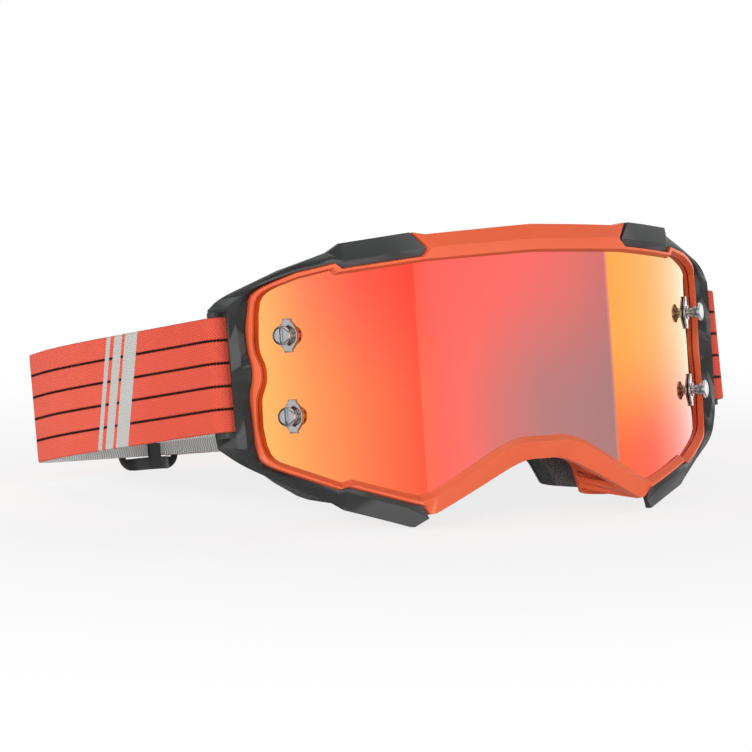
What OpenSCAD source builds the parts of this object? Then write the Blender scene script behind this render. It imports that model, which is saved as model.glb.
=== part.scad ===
// Motorcycle goggles: a soft wrap-round frame with a mirrored lens, side outriggers and an elastic strap.
// Every piece is drawn in the goggles' own frame: the lens is an upright cylinder, x runs to the wearer's
// left, y back towards the face, and z = 0 is the top of the nose arch. seated() sets it on the table.

/* [Lens] */
// radius of the lens cylinder, to its outer face
lens_r = 106.9; // [95:0.1:125]
// thickness of the lens
lens_t = 1.0; // [0.6:0.1:2]
// how far the lens reaches into the groove of the rim
lens_hold = 0.9; // [0.6:0.1:1.2]

/* [Frame] */
// how far the front of the rim stands out of the lens
rim_proud = 3.0; // [2:0.1:4]
// depth of the rim, from the radius of the outriggers' seats back
rim_depth = 9; // [8:0.5:12]
// depth of the rim beside the nose, where the vents are wider
nose_rim_depth = 5.5; // [5:0.5:9]
// thickness of the walls and of the face flange
wall = 2; // [1.5:0.1:3]
// width of the face flange
flange_w = 9; // [6:0.5:12]
// distance of the face flange behind the lens, at the centre
flange_back = 22; // [18:0.5:28]
// bend of the face flange: back by this times the square of x
flange_bend = 0.0045; // [0.003:0.0001:0.006]
// longest step between two sections of the frame
section_step = 6; // [4:0.5:12]
// every so many sections of a vent, one is a strut
strut_every = 3; // [2:1:5]

/* [Tear-off posts] */
// distance of the posts from the centre
post_x = 78.7; // [70:0.1:84]
// height of the upper and the lower posts above the nose arch
post_z = [41.1, 13.1]; // [0:0.1:60]
// radius of the mushroom head
post_head_r = 3.35; // [2.5:0.05:4]
// radius of the stem that goes through the lens
post_stem_r = 1.5; // [1:0.1:2]
// length and width of the base plate
plate_size = [11.7, 7.2]; // [4:0.1:14]

/* [Strap] */
// width of the webbing
strap_w = 40; // [35:1:50]
// thickness of the webbing
strap_t = 1.5; // [1:0.1:2.5]
// how far the strap sags below the plane of the frame, in degrees
strap_tilt = 3.5; // [0:0.1:6]
// height of the middle of the strap at the bars
strap_z = 29; // [20:0.5:40]
// half the width of the loop at its rear corners
loop_x = 124.5; // [100:0.5:130]
// distance back to the rear corners of the loop
loop_corner_y = 175; // [150:1:220]
// distance back to the middle of the rear run
loop_back_y = 182; // [140:1:240]

/* [Sliders] */
// place of each slider on the rear run, from the centre
slider_x = 75; // [50:1:90]
// length of a slider along the strap
slider_l = 24; // [16:0.5:30]
// height of the rails above and below the strap
rail_h = 4.6; // [2.5:0.1:6]
// thickness of a slider's bars
bar_t = 2; // [1.5:0.1:3]

/* [Foam] */
// width of the face foam
foam_w = 11; // [8:0.5:16]
// thickness of the base, the middle and the fleece layer
foam_layers = [4, 8, 2]; // [1:0.5:12]

/* [Seat] */
// how far the goggles lean back on the table, in degrees
lean = 8.1; // [0:0.01:15]

/* [Hidden] */
$fn = 48;

orange = "#e4633d";
charcoal = "#3c3e3f";
coral = "#e5604c";
foam_grey = "#47494a";
chrome = "#c9ced2";

// clearance between pieces that touch
gap = 0.35;
// height of the goggles' origin above the table, and the shift that centres the loop
seat_lift = 29.4;
seat_shift = -92.6;
// clearance of the lens in its groove
lens_gap = 0.15;
front_r = lens_r + rim_proud;
back_r = lens_r - lens_t - lens_gap;
// radius that the outriggers and their seats are measured from
seat_proud = 1.6;
arm_r = lens_r + seat_proud;
groove_d = lens_hold + 0.4;
// bevel between the lens and the front of the rim, and the lip behind the lens
bevel_w = 0.9;
lip_t = 1.5;
// drop of the shoulder behind the seat of the outrigger
shoulder_drop = 2.4;
// how far the flange reaches out past the wall
ledge_w = 1.2;
// middle of an eye's opening: its share of x, and its height
eye_share = 0.72;
eye_z = 27;

// Stations round the right half of the frame, from the top centre to the nose: one point of each rail.
// Edge of the lens opening, [x, z]
lens_edge = [
    [0, 64.4], [34, 63.3], [37.4, 63.2], [40, 63], [65.8, 60.6], [66.9, 62.2], [76, 60.1], [85.4, 56.4],
    [86.3, 49], [86.7, 40], [86.6, 36], [85.2, 31], [85.2, 26], [86.8, 20], [86.9, 10], [86.3, 4],
    [85, -1.2], [75.8, -6.1], [67.3, -10.6], [64.5, -9.7], [49, -15.4], [44.8, -16.7], [40.7, -15.5],
    [12.3, 1], [0, 1]
];
// Outer edge of the rim's front face
face_edge = [
    [0, 69], [34.3, 68.1], [36.8, 67.6], [39.3, 64.9], [64.2, 62.5], [66, 64.4], [76.6, 62.2], [88, 57.4],
    [88.9, 50], [89.4, 43.5], [89.5, 36.2], [88.6, 31], [88.6, 26], [89.3, 22], [89.3, 8.6], [88.9, 4],
    [87.8, -3.2], [76.4, -9], [68.5, -12.8], [66.2, -12], [48.7, -18.6], [43.9, -20.2], [41.6, -24.3],
    [8.5, -6.9], [0, -7]
];
// How far that edge is set back beside the nose, where the front face slopes
face_setback = [0, 0, 0, 0, 0, 0, 0, 0, 0, 0, 0, 0, 0, 0, 0, 0, 0, 0, 0, 0, 0, 0, 2.4, 3.6, 3.6];
// Width of the sloping shoulder outside the front face: it rises beside the outrigger's upper pad
shoulder = [
    5.2, 4.5, 7, 4.4, 4.4, 2, 0.7, 0, 0, 0, 0, 0, 0, 0, 0, 0, 0, 0.8, 1.6, 3.4, 2.8, 2.2, 0, 0, 0
];
// Depth of the seat for the outrigger beside the front face
seat_step = [
    -1, -1, -1, 2.6, 2.6, 1.6, 1.2, 1.2, 0.6, 1.6, -0.2, 0.4, 0.9,
    1.6, -0.2, 1, 1.2, 1.4, 1.6, 2.6, 2.6, 2.6, 1.4, 2.6, 2.6
];
// Lean of the shoulder's outer edge along x, where it ends against the slant end of the upper pad
shoulder_lean = [0, 2.8, 0.9, 0, 0, 0, 0, 0, 0, 0, 0, 0, 0, 0, 0, 0, 0, 0, 0, 0, 0, 0, 0, 0, 0];
// 1 where the rim has its full depth, 0 where it is cut back beside the nose
rim_share = [1, 1, 1, 1, 1, 1, 1, 1, 1, 1, 1, 1, 1, 1, 1, 1, 1, 1, 1, 1, 1, 0.6, 0, 0, 0];
// Outer edge of the face flange
flange_edge = [
    [0, 71.5], [34, 69.7], [37.4, 69.4], [40, 69], [64, 64.5], [66, 63.8], [74, 60], [83, 54], [87, 48],
    [89, 40], [89.2, 35.6], [89.2, 31], [89.2, 26], [89.2, 20.5], [89, 9], [88, 2], [84, -5], [76, -11],
    [69, -14.4], [66, -15.9], [53, -21.4], [50, -22.4], [27, -21.4], [22.5, -7.6], [0, -4.5]
];
// Outer edge of the face foam: as the flange, but fuller beside the nose
foam_edge = [
    [0, 70], [34, 68.2], [37.4, 67.9], [40, 67.5], [63, 63], [65, 62.2], [73, 58.6], [82, 53], [86, 47],
    [88, 40], [88.2, 35.6], [88.2, 31], [88.2, 26], [88.2, 20.5], [88, 9], [87, 3], [83, -3.2],
    [75.6, -10.3],
    [69, -15.5], [66, -16.9], [53, -20], [50, -20.4], [18, -18], [12, -7.5], [0, -5]
];
// Ridge of the outrigger, [x, z, how far it stands out of the rim's front]
ridge = [
    [0, 70, 0], [31, 70, 0], [36, 70, 0], [38.2, 67.8, 0.6], [63.9, 65.5, 0.6], [66.2, 66.2, -0.4],
    [77, 63.3, 0], [89.8, 57.4, 3], [92.4, 52, 5.6], [93, 46.4, 4.7], [93, 35, 7.4], [92.6, 30.4, 5.2],
    [92.6, 26.6, 4.5], [93, 22.6, 4.7], [93, 8.2, 7.4], [92.2, 2.4, 4.6], [89.6, -3.4, 2.4],
    [77.8, -10.4, 0.2], [68.6, -14.8, 0], [66.6, -14.2, 0.6], [49.4, -20.7, 0.6],
    [42.8, -24.8, 0.6], [42, -26, 0],
    [8, -8, 0], [0, -8, 0]
];
// Outer edge of the outrigger's front, [x, z, how far it stands out of the rim's front]
brow = [
    [0, 75, 0], [33, 75, 0], [41, 74.5, 0], [43, 73.5, -0.4], [63.7, 71.4, 0.3], [66.9, 68.6, -2],
    [79.2, 63.8, -0.8], [95, 56.2, 6.8], [95.7, 52, 9.5], [95.8, 49.2, 9.7], [95.8, 33.6, 9.7],
    [95.8, 30, 9.7], [95.8, 26.2, 9.7], [95.8, 22.4, 9.7], [95.8, 8, 9.7], [95.2, 3.2, 8.6],
    [92.6, -3.4, 5.9], [79.2, -11.6, -0.6],
    [68.9, -17.6, -1.4], [65.7, -20.3, -2], [49.8, -26.2, -2], [46.4, -27.5, -2], [44, -28, 0],
    [8, -9, 0], [0, -9, 0]
];
// Depth of the outrigger from that edge to its rear
arm_back = [
    0, 0, 0, 4, 3, 2.4, 6, 6, 18, 18, 18, 18, 18, 18, 18, 18, 4, 6, 5, 4, 4, 4, 0, 0, 0
];
// 1 where the station has an outrigger, and 1 where the wall of the frame is open to the air
has_arm = [0, 0, 0, 1, 1, 1, 1, 1, 1, 1, 1, 1, 1, 1, 1, 1, 1, 1, 1, 1, 1, 1, 0, 0, 0];
is_vent = [1, 1, 1, 1, 1, 0, 0, 0, 0, 0, 0, 0, 0, 0, 0, 0, 0, 0, 0, 1, 1, 1, 1, 1, 1];
// Reach of the rounding at each station, 0 where the outline has a sharp corner
rounding = [0, 0, 0, 0, 0, 0, 0, 7, 0, 0, 2, 2, 2, 2, 0, 0, 6, 0, 0, 0, 0, 0, 3, 9, 0];
arc_steps = 4;

// Columns of a station
EDGE = 0;
FACE = 2;
FLANGE = 4;
FOAM = 6;
RIDGE = 8;
BROW = 11;
SHOULDER = 14;
STEP = 15;
BACK = 16;
ARM = 17;
VENT = 18;
LEAN_X = 19;
RIM = 20;
SETBACK = 21;

stations = [
    for (i = [0 : len(lens_edge) - 1])
    concat(lens_edge[i], face_edge[i], flange_edge[i], foam_edge[i], ridge[i], brow[i],
        [shoulder[i], seat_step[i], arm_back[i], has_arm[i], is_vent[i]],
        [shoulder_lean[i], rim_share[i], face_setback[i]])
];

function mix(a, b, t) = a + (b - a) * t;

function rail(s, column) = [s[column], s[column + 1]];

function span(a, b) = norm(rail(a, EDGE) - rail(b, EDGE));

// A corner of the outline as an arc of quadratic form, or as itself where it is sharp
function corner(rows, reaches, i) =
    let (reach = reaches[i])
    reach == 0 ? [rows[i]] :
    let (
        before = mix(rows[i], rows[i - 1], min(0.45, reach / span(rows[i], rows[i - 1]))),
        after = mix(rows[i], rows[i + 1], min(0.45, reach / span(rows[i], rows[i + 1])))
    )
    [
        for (k = [0 : arc_steps])
        let (t = k / arc_steps)
        mix(mix(before, rows[i], t), mix(rows[i], after, t), t)
    ];

rounded = [for (i = [0 : len(stations) - 1]) each corner(stations, rounding, i)];

// Long stretches get more sections, so that they follow the cylinder
right_half = [
    for (i = [0 : len(rounded) - 2])
    let (pieces = max(1, ceil(span(rounded[i], rounded[i + 1]) / section_step)))
    for (k = [0 : pieces - 1]) mix(rounded[i], rounded[i + 1], k / pieces),
    rounded[len(rounded) - 1]
];

// The columns that hold an x change sign on the left half
x_columns = [EDGE, FACE, FLANGE, FOAM, RIDGE, BROW, LEAN_X];

function holds_x(c) = max([for (x = x_columns) c == x ? 1 : 0]) == 1;

function flipped(row) = [for (c = [0 : len(row) - 1]) holds_x(c) ? -row[c] : row[c]];

half_count = len(right_half);
ring = concat(right_half, [for (i = [half_count - 2 : -1 : 1]) flipped(right_half[i])]);
ring_count = len(ring);

// Outward direction of a rail in the x-z plane, at one station of the ring
function outward(column, i) =
    let (
        next = ring[(i + 1) % ring_count],
        last = ring[(i + ring_count - 1) % ring_count],
        t = rail(next, column) - rail(last, column)
    )
    [-t[1], t[0]] / norm(t);

// A point over (x, z) on the lens cylinder of radius r, moved back by d
function over(xz, r, d) = [xz[0], lens_r - sqrt(r * r - xz[0] * xz[0]) + d, xz[1]];

function flange_y(x) = flange_back + flange_bend * x * x;

// Direction from a point of the flange towards the middle of the opening beside it
function inward(xz) = let (v = [eye_share * xz[0], eye_z] - xz) v / norm(v);

function at_flange(xz, d) = [xz[0], flange_y(xz[0]) + d, xz[1]];

// Slant of the side wall of the outrigger's seat
function seat_slant(s) = min(0.6, s[SHOULDER] / 4);

// Section of the frame at one station. Points 5 and 12 end the rim, and 6 and 11 begin the flange.
function frame_section(i) =
    let (
        s = ring[i],
        edge = rail(s, EDGE),
        face = rail(s, FACE),
        out_edge = outward(EDGE, i),
        out_face = outward(FACE, i),
        foot = rail(s, FLANGE),
        in_foot = inward(foot),
        outer = face + out_face * s[SHOULDER] + [s[LEAN_X], 0],
        recess = face + out_face * seat_slant(s),
        rim_end = mix(nose_rim_depth, rim_depth, s[RIM])
    )
    [
        over(edge, lens_r + lens_gap, 0),
        over(edge + out_edge * bevel_w, front_r, 0),
        over(face, front_r, s[SETBACK]),
        over(recess, arm_r, s[STEP]),
        over(outer, arm_r, s[STEP] + shoulder_drop),
        over(outer, arm_r, rim_end),
        at_flange(foot + in_foot * ledge_w, 0),
        at_flange(foot, 0),
        at_flange(foot, wall),
        at_flange(foot + in_foot * flange_w, wall),
        at_flange(foot + in_foot * flange_w, 0),
        at_flange(foot + in_foot * (ledge_w + wall), 0),
        over(outer - out_face * wall, arm_r, rim_end),
        over(edge, back_r - lip_t, 0),
        over(edge, back_r, 0),
        over(edge + out_edge * groove_d, back_r, 0),
        over(edge + out_edge * groove_d, lens_r + lens_gap, 0)
    ];

RIM_END = [5, 12];
FLANGE_END = [6, 11];

// A stretch of the wall is open where both its stations are vents and no strut stands there
function is_open(i) =
    let (
        j = (i + 1) % ring_count,
        k = i < half_count - 1 ? i : ring_count - 1 - i
    )
    ring[i][VENT] > 0.99 && ring[j][VENT] > 0.99 && k % strut_every != 0;

// Two triangles between the strips a and b of two sections
function strip(i, j, m, a, b) = [[i * m + a, j * m + b, j * m + a], [i * m + a, i * m + b, j * m + b]];

// The same strip split along its other diagonal, so that one half can mirror the other
function mirrored_strip(i, j, m, a, b) =
    [[i * m + a, i * m + b, j * m + a], [i * m + b, j * m + b, j * m + a]];

function ring_strip(i, j, m, a, b) =
    i < half_count - 1 ? strip(i, j, m, a, b) : mirrored_strip(i, j, m, a, b);

function strip_pairs(m, open) = [
    for (a = [0 : m - 1])
    let (b = (a + 1) % m)
    open && a == RIM_END[0] ? [RIM_END[0], RIM_END[1]] :
    open && a == FLANGE_END[1] ? [FLANGE_END[1], FLANGE_END[0]] :
    [a, b]
];

// The end wall of a strut
function strut_end(i, m, flip) =
    let (q = [for (p = [5, 6, 11, 12]) i * m + p])
    flip ? [[q[0], q[2], q[1]], [q[0], q[3], q[2]]] : [[q[0], q[1], q[2]], [q[0], q[2], q[3]]];

module vented_loft(sections) {
    n = len(sections);
    m = len(sections[0]);
    walls = [
        for (i = [0 : n - 1], pair = strip_pairs(m, is_open(i)))
        each ring_strip(i, (i + 1) % n, m, pair[0], pair[1])
    ];
    ends = [
        for (i = [0 : n - 1])
        let (before = is_open((i + n - 1) % n), after = is_open(i))
        if (before != after) each strut_end(i, m, before)
    ];
    polyhedron([for (s = sections) each s], concat(walls, ends));
}

// A closed ring through sections
module ring_loft(sections) {
    n = len(sections);
    m = len(sections[0]);
    polyhedron(
        [for (s = sections) each s],
        [for (i = [0 : n - 1], a = [0 : m - 1]) each ring_strip(i, (i + 1) % n, m, a, (a + 1) % m)]
    );
}

// The end of a bar of m edges: triangles from one side of the section across to the other
function end_cap(m) = [
    for (a = [0 : m / 2])
    let (z = m - 1 - a)
    each concat(
        a + 1 < z ? [[a, a + 1, z]] : [],
        a + 1 < z - 1 ? [[a + 1, z - 1, z]] : []
    )
];

// An open bar through sections, closed at both ends
module bar_loft(sections, mirrored = 0) {
    n = len(sections);
    m = len(sections[0]);
    start = (n - 1) * m;
    first = [for (t = end_cap(m)) [t[2], t[1], t[0]]];
    last = [for (t = end_cap(m)) [start + t[0], start + t[1], start + t[2]]];
    walls = [
        for (i = [0 : n - 2], a = [0 : m - 1])
        let (b = (a + 1) % m)
        each i < mirrored ? mirrored_strip(i, i + 1, m, a, b) : strip(i, i + 1, m, a, b)
    ];
    polyhedron([for (s = sections) each s], concat(walls, first, last));
}

module seated() {
    translate([0, seat_shift, seat_lift]) rotate([-lean, 0, 0]) children();
}

module frame() {
    color(orange) seated() vented_loft([for (i = [0 : ring_count - 1]) frame_section(i)]);
}

module lens() {
    outline = [for (i = [0 : ring_count - 1]) rail(ring[i], EDGE) + outward(EDGE, i) * lens_hold];
    height = 260;
    color("#ff7a4a") seated() difference() {
        intersection() {
            rotate([90, 0, 0]) translate([0, 0, -lens_r]) linear_extrude(lens_r + 1) polygon(outline);
            translate([0, lens_r, 0]) difference() {
                cylinder(h = height, r = lens_r, center = true, $fn = 200);
                cylinder(h = height + 2, r = lens_r - lens_t, center = true, $fn = 200);
            }
        }
        at_posts() cylinder(h = 12, r = post_stem_r + 0.2, center = true);
    }
}

// The four places of the posts, z along the post and out of the lens
module at_posts() {
    turn = asin(post_x / lens_r);
    for (side = [-1, 1], z = post_z)
        translate([0, lens_r, z])
        rotate([0, 0, side * turn])
        translate([0, -lens_r, 0])
        rotate([90, 0, 0])
        children();
}

plate_t = 0.8;
plate_bottom = 0.15;

// A post turned to one profile: stem, collar, flared neck and mushroom head, with a slot across its dome
module posts() {
    stem_end = -3.4;
    collar = plate_bottom + plate_t + 0.1;
    collar_r = 2.3;
    neck_r = 1.6;
    flare_r = post_head_r - 0.2;
    neck = collar + 0.4;
    neck_h = 3.4;
    head = neck + neck_h + 0.1;
    head_t = 0.8;
    dome = [1.2, 0.7];
    slot_w = 1;
    neck_line = [
        for (k = [0 : 8])
        let (t = k / 8)
        [neck_r + (flare_r - neck_r) * pow(t, 3), neck + neck_h * t]
    ];
    cap = [
        for (k = [0 : 4])
        let (a = 90 * k / 4)
        [post_head_r - dome[0] * (1 - cos(a)), head + head_t + dome[1] * sin(a)]
    ];
    stem = [[0, stem_end], [post_stem_r, stem_end], [post_stem_r, collar]];
    foot = [[collar_r, collar], [collar_r, neck]];
    profile = concat(stem, foot, neck_line, [[post_head_r, head]], cap, [[0, head + head_t + dome[1]]]);
    color(chrome) seated() at_posts() difference() {
        rotate_extrude() polygon(profile);
        translate([-slot_w / 2, -post_head_r - 1, head + head_t])
            cube([slot_w, 2 * post_head_r + 2, dome[1] + 1]);
    }
}

// A base plate: two arcs that meet in a squared tab at each end
module post_plates() {
    half = plate_size / 2;
    tab_w = 2.8;
    arc_r = (half[0] * half[0] + half[1] * half[1]) / (2 * half[1]);
    color(chrome) seated() at_posts() translate([0, 0, plate_bottom]) linear_extrude(plate_t) difference() {
        union() {
            intersection_for (side = [-1, 1]) translate([side * (arc_r - half[1]), 0]) circle(arc_r);
            square([tab_w, plate_size[0]], center = true);
        }
        circle(post_stem_r + 0.1);
    }
}

module post_nuts() {
    nut_t = 1.6;
    color(chrome) seated() at_posts() translate([0, 0, -lens_t - 0.2 - nut_t]) difference() {
        cylinder(h = nut_t, r = 3.6);
        translate([0, 0, -1]) cylinder(h = nut_t + 2, r = post_stem_r + 0.05);
    }
}

// clearance of the outrigger in its seat, the drop of its inner edge below the seat's radius, and the
// thickness of that edge where the seat rises with the folds of the side panel
arm_gap = 0.45;
arm_edge_drop = 0.4;
arm_edge_t = 0.8;

// Section of the outrigger at a station of the right half
function arm_section(i) =
    let (
        s = ring[i],
        face = rail(s, FACE),
        out = outward(FACE, i),
        outer = face + out * (s[SHOULDER] + arm_gap),
        crest = rail(s, BROW),
        rear = s[BACK] - s[BROW + 2],
        rear_y = over(crest, arm_r, rear)[1]
    )
    [
        over(face + out * arm_gap, arm_r, min(arm_edge_drop, s[STEP] - arm_edge_t)),
        over(rail(s, RIDGE), arm_r, -s[RIDGE + 2]),
        over(crest, arm_r, -s[BROW + 2]),
        over(crest, arm_r, rear),
        [outer[0], max(rear_y, over(outer, arm_r, s[STEP] + shoulder_drop + 0.2)[1]), outer[1]],
        over(outer, arm_r, s[STEP] + shoulder_drop - arm_gap),
        over(face + out * (arm_gap + seat_slant(s)), arm_r, s[STEP] - arm_gap)
    ];

arm_stations = [for (i = [0 : half_count - 1]) if (ring[i][ARM] > 0.999) i];

// Bar of the outrigger that the strap turns round, and the slot in front of it
bar_x = [93.4, 99.5];
bar_y = 51;
bar_l = 5;
slot_y = 47.4;
slot_h = strap_w + 4;

// Place of the bar: y = 0 at its front, z along the bar
module at_bar() {
    translate([0, bar_y, strap_z]) rotate([-strap_tilt, 0, 0]) children();
}

module bar_outline() {
    round_r = 1.5;
    hull() {
        translate([bar_x[0], 0]) square([1, bar_l]);
        for (y = [round_r, bar_l - round_r])
            translate([bar_x[1] - round_r, y]) circle(round_r);
    }
}

module outrigger() {
    slot_x = 88;
    slot_l = bar_y - slot_y;
    pocket_l = 24;
    difference() {
        union() {
            bar_loft([for (i = arm_stations) arm_section(i)]);
            at_bar() linear_extrude(slot_h, center = true) bar_outline();
        }
        at_bar() translate([slot_x, -slot_l, -slot_h / 2]) {
            cube([12, slot_l, slot_h]);
            cube([bar_x[0] - slot_x, pocket_l, slot_h]);
        }
    }
}

module outrigger_right() {
    color(charcoal) seated() outrigger();
}

module outrigger_left() {
    color(charcoal) seated() mirror([1, 0, 0]) outrigger();
}

// A layer of the face foam, from depth a to depth b behind the flange
module foam_layer(a, b, inset) {
    edge_round = min(1, (b - a) / 3);
    ring_loft([
        for (i = [0 : ring_count - 1])
        let (
            p = rail(ring[i], FOAM),
            n = inward(p),
            inner = foam_w - inset
        )
        [
            at_flange(p + n * inset, a),
            at_flange(p + n * inset, b - edge_round),
            at_flange(p + n * (inset + edge_round), b),
            at_flange(p + n * (inner - edge_round), b),
            at_flange(p + n * inner, b - edge_round),
            at_flange(p + n * inner, a)
        ]
    ]);
}

foam_start = wall + 0.15;
foam_levels = [
    foam_start,
    foam_start + foam_layers[0],
    foam_start + foam_layers[0] + foam_layers[1],
    foam_start + foam_layers[0] + foam_layers[1] + foam_layers[2]
];
foam_gap = 0.3;

module face_foam_base() {
    color(foam_grey) seated() foam_layer(foam_levels[0], foam_levels[1] - foam_gap, 0);
}

module face_foam_middle() {
    color(foam_grey) seated() foam_layer(foam_levels[1], foam_levels[2] - foam_gap, 0.3);
}

module face_foam_fleece() {
    color("#2c2d2e") seated() foam_layer(foam_levels[2], foam_levels[3], 0.6);
}

// Filter foam behind a stretch of the vents, inside the wall
module vent_foam(indices, mirrored = 0) {
    foam_t = 2.5;
    wall_gap = 1.3;
    end_gap = 0.6;
    bar_loft([
        for (i = indices)
        let (
            j = (i + ring_count) % ring_count,
            s = frame_section(j),
            n = inward(rail(ring[j], FACE)),
            front = s[RIM_END[1]] + [n[0] * wall_gap, end_gap, n[1] * wall_gap],
            foot = rail(ring[j], FLANGE),
            reach = ledge_w + wall + wall_gap,
            rear = at_flange(foot + inward(foot) * reach, -end_gap),
            rear_in = at_flange(foot + inward(foot) * (reach + foam_t), -end_gap),
            front_in = front + [n[0], 0, n[1]] * foam_t
        )
        [front, rear, rear_in, front_in]
    ], mirrored);
}

top_vents = [for (i = [0 : half_count - 1]) if (ring[i][VENT] > 0.99 && ring[i][EDGE + 1] > eye_z) i];
low_vents = [for (i = [0 : half_count - 4]) if (ring[i][VENT] > 0.99 && ring[i][EDGE + 1] < eye_z) i];

module vent_foam_top() {
    last = len(top_vents) - 1;
    color(foam_grey) seated() vent_foam([for (k = [-last : last]) k], last);
}

module vent_foam_right() {
    color(foam_grey) seated() vent_foam(low_vents);
}

module vent_foam_left() {
    color(foam_grey) seated() mirror([1, 0, 0]) vent_foam(low_vents);
}

// The straps and sliders are drawn in the plane of the loop, with z along the width of the webbing
module in_loop() {
    seated() at_bar() translate([0, -bar_y, 0]) children();
}

// Distance between the two layers of the rear run, from centre line to centre line
layer = strap_t + 0.4;
out_x = bar_x[1] + gap + strap_t / 2;
in_x = bar_x[0] - gap - strap_t / 2;
turn_y = bar_y - gap - strap_t / 2;
// The side run: where it leaves the bar, its widest place, and the end of the sewn fold inside it
run_start_y = bar_y + 6;
run_end = [loop_x + 1, loop_corner_y - 40];
fold_turn_y = bar_y + 18;
fold_end_y = bar_y + 36;
fold_share = (fold_end_y - run_start_y) / (run_end[1] - run_start_y);
fold_end_x = mix(out_x, loop_x, fold_share) - layer;
rear_corner = [loop_x - 1, loop_corner_y];
run_angle = atan2(loop_back_y - loop_corner_y, rear_corner[0]);
// Length of the sewn end that rides on a slider, from the slider's centre bar
sewn_end = 26;

function rear_y(x) = loop_back_y - abs(x) * tan(run_angle);

// Corners of the right strap: sewn fold, turn round the bar, side run, rear corner, one layer of the rear
function strap_corners(shift) =
    let (end_x = (sewn_end + 0.4) * cos(run_angle) - slider_x)
    [
        [fold_end_x, fold_end_y], [in_x, fold_turn_y], [in_x, turn_y],
        [out_x, turn_y], [out_x, run_start_y], run_end,
        rear_corner + [0, shift], [0, loop_back_y + shift], [end_x, rear_y(end_x) + shift]
    ];
strap_rounding = [0, 5, 1.8, 1.8, 5, 30, 11, 14, 0];

// A band of the given thickness along a centre line
function side_of(line, i) =
    let (t = line[min(i + 1, len(line) - 1)] - line[max(i - 1, 0)])
    [-t[1], t[0]] / norm(t);

module band(line, thickness, width) {
    n = len(line);
    left = [for (i = [0 : n - 1]) line[i] + side_of(line, i) * thickness / 2];
    right = [for (i = [n - 1 : -1 : 0]) line[i] - side_of(line, i) * thickness / 2];
    linear_extrude(width, center = true) polygon(concat(left, right));
}

function smooth(corners, reaches) = [for (i = [0 : len(corners) - 1]) each corner(corners, reaches, i)];

module webbing(shift) {
    band(smooth(strap_corners(shift), strap_rounding), strap_t, strap_w);
}

// The right strap is the outer layer of the rear run, the left strap the inner one
module strap_right() {
    color(coral) in_loop() webbing(layer / 2);
}

module strap_left() {
    color(coral) in_loop() mirror([1, 0, 0]) webbing(-layer / 2);
}

// Place of a slider on its own strap, x along the run towards the centre, y to the side of its end bars
module at_slider(side) {
    x = side * slider_x;
    turn = side > 0 ? 180 - run_angle : run_angle;
    in_loop() translate([x, rear_y(x) + side * layer / 2, 0]) rotate([0, 0, turn]) children();
}

bar_w = 3;
end_bar_x = slider_l / 2 - bar_w / 2;
sewn_t = 1.2;
tail_gap = 0.2;
end_bar_y = strap_t / 2 + sewn_t + 2 * tail_gap;
centre_bar_y = -strap_t / 2 - 2 * gap - bar_t;
rail_z = strap_w / 2 + 0.5;

// A slider: arched rails beyond the edges of the strap, a centre bar on one side, end bars on the other
module slider() {
    corner_r = 6;
    half_l = slider_l / 2;
    half_h = rail_z + rail_h;
    arch_reach = slider_l / 3;
    arch = [
        for (k = [-6 : 6])
        let (x = k / 6 * half_l)
        [x, mix(centre_bar_y, end_bar_y, min(1, pow(abs(x) / arch_reach, 3)))]
    ];
    arch_back = [for (k = [12 : -1 : 0]) arch[k] + [0, bar_t]];
    intersection() {
        linear_extrude(2 * half_h, center = true) polygon(concat(arch, arch_back));
        rotate([90, 0, 0]) linear_extrude(30, center = true) difference() {
            hull() for (x = [-1, 1], z = [-1, 1])
                translate([x * (half_l - corner_r), z * (half_h - corner_r)]) circle(corner_r);
            for (side = [-1, 1])
                translate([side * half_l / 2, 0]) square([half_l - bar_w * 1.5, 2 * rail_z], center = true);
        }
    }
}

module slider_right() {
    color(charcoal) at_slider(1) slider();
}

module slider_left() {
    color(charcoal) at_slider(-1) slider();
}

// The end of the other strap, wrapped round the end bar next to the centre and sewn to itself
module sewn_tail() {
    under = strap_t / 2 + tail_gap + sewn_t / 2;
    upper = under + sewn_t + 0.1;
    over_bar = end_bar_y + bar_t + tail_gap + sewn_t / 2;
    wrap_x = end_bar_x - bar_w / 2 - tail_gap - sewn_t / 2;
    past_bar = end_bar_x + bar_w;
    corners = [
        [sewn_end, under], [wrap_x, under], [wrap_x, over_bar],
        [past_bar, over_bar], [past_bar + 4, upper], [sewn_end, upper]
    ];
    band(smooth(corners, [0, 1.4, 1.4, 2, 2, 0]), sewn_t, strap_w);
}

module strap_end_right() {
    color(coral) at_slider(1) sewn_tail();
}

module strap_end_left() {
    color(coral) at_slider(-1) sewn_tail();
}

// Silicone beads along the inside of the rear run
module strap_grip() {
    bead_w = 1.4;
    bead_t = 0.6;
    bead_step = 8;
    reach_x = 40;
    inside = (layer + strap_t + bead_t) / 2 + 0.1;
    corners = [for (x = [-reach_x, 0, reach_x]) [x, rear_y(x) - inside / cos(run_angle)]];
    line = smooth(corners, [0, 14, 0]);
    color("#d8d9d6") in_loop() for (k = [-1 : 1])
        translate([0, 0, k * bead_step]) band(line, bead_t, bead_w);
}

frame();
lens();
posts();
post_plates();
post_nuts();
outrigger_right();
outrigger_left();
face_foam_base();
face_foam_middle();
face_foam_fleece();
vent_foam_top();
vent_foam_right();
vent_foam_left();
strap_right();
strap_left();
strap_end_right();
strap_end_left();
strap_grip();
slider_right();
slider_left();
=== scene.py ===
import math

import bmesh
import bpy
from mathutils import Matrix, Vector, noise


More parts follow.
